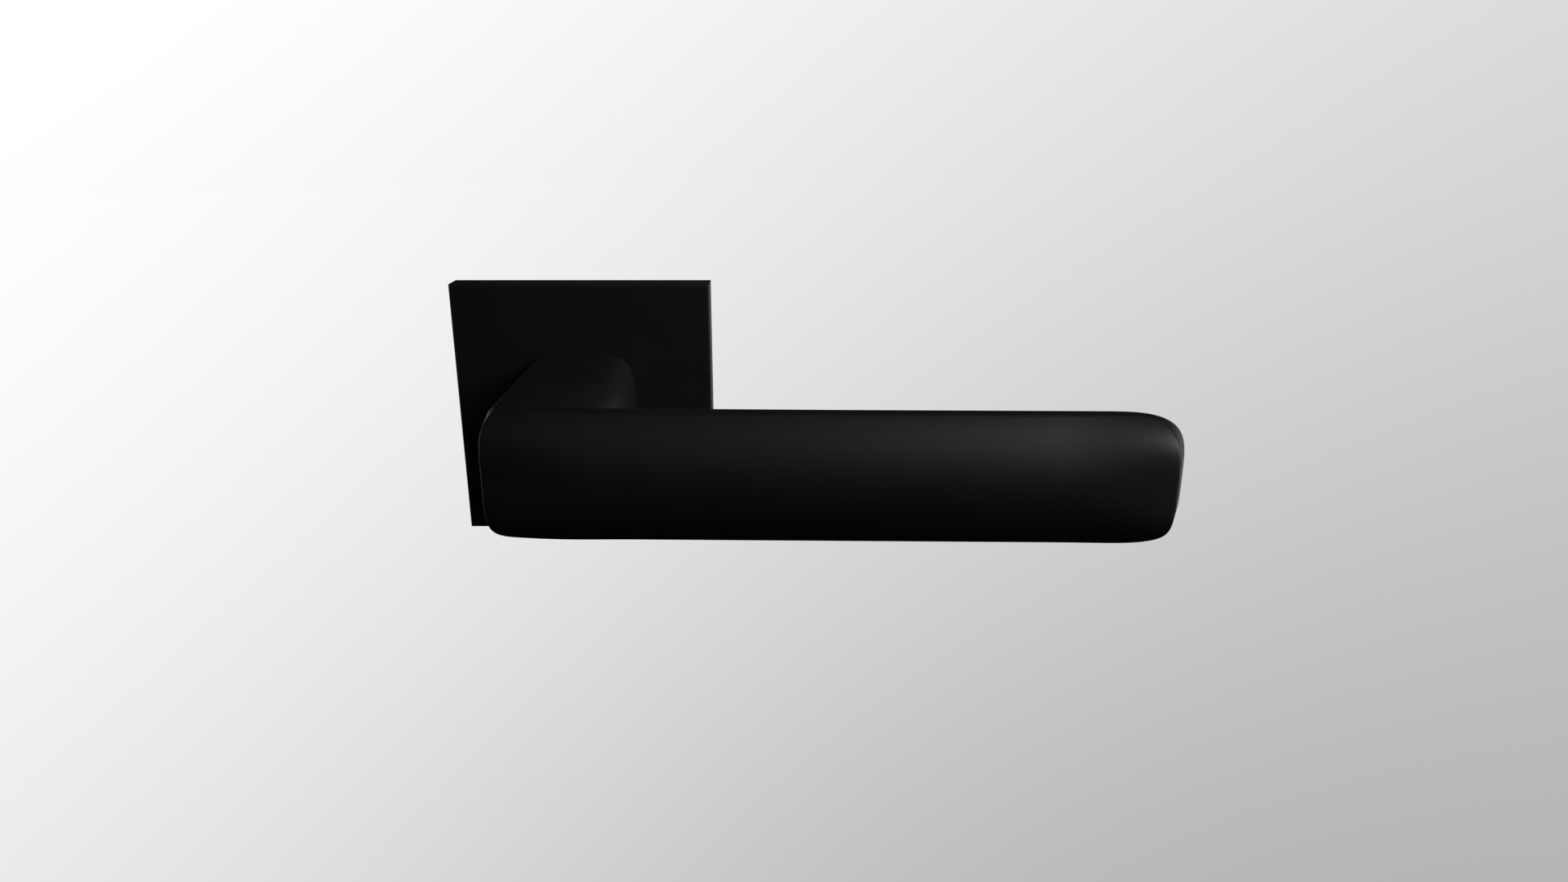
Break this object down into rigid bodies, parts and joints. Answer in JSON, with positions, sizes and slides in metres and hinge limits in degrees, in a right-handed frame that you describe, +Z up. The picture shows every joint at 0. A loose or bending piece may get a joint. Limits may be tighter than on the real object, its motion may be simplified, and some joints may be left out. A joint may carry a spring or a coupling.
{
  "type": "door lever handle",
  "caption": "Door lever handle: domed bar lever with rounded ends on a slim square rose, sprung to return, with square spindle, through bolts and wood screws.",
  "frame": {"origin": "where the spindle axis meets the door face, which is the back of the rose", "axes": "+X along the lever to its tip, +Y into the door along the spindle, +Z up"},
  "size_m": [0.1343, 0.1129, 0.052],
  "materials": {
    "black_coat": "matte black powder coat, fine even texture",
    "cast_alloy": "zinc alloy, as die cast, fine grain",
    "zinc_steel": "bright zinc plate",
    "yellow_zinc": "yellow passivated zinc plate",
    "turned_steel": "turned steel with fine rings",
    "spring_steel": "oiled spring steel",
    "black_steel": "blackened steel",
    "nylon": "natural nylon, moulded"
  },
  "bodies": {
    "rose": {"rose_cover": "black_coat", "rose_base": "cast_alloy", "cover_clips": "spring_steel", "spring_housing": "cast_alloy", "front_bush": "nylon", "rear_bush": "nylon", "return_spring": "spring_steel", "end_plate": "zinc_steel", "end_plate_screws": "zinc_steel", "disc_spring": "spring_steel", "bolt_sleeves": "zinc_steel", "through_bolts": "zinc_steel", "wood_screws": "yellow_zinc"},
    "lever": {"lever_handle": "black_coat", "lever_shank": "turned_steel", "cross_pin": "zinc_steel", "spindle": "zinc_steel", "grub_screw": "black_steel", "spring_rotor": "turned_steel", "retaining_ring": "spring_steel"}
  },
  "joints": [
    {"name": "lever_turn", "type": "hinge", "parent": "rose", "child": "lever", "pos_m": [0, 0, 0], "axis": [0, 1, 0], "range_deg": [0, 42], "stiffness_Nm_per_rad": 0.9, "springref_deg": -28.65, "deforming": ["return_spring"]}
  ]
}
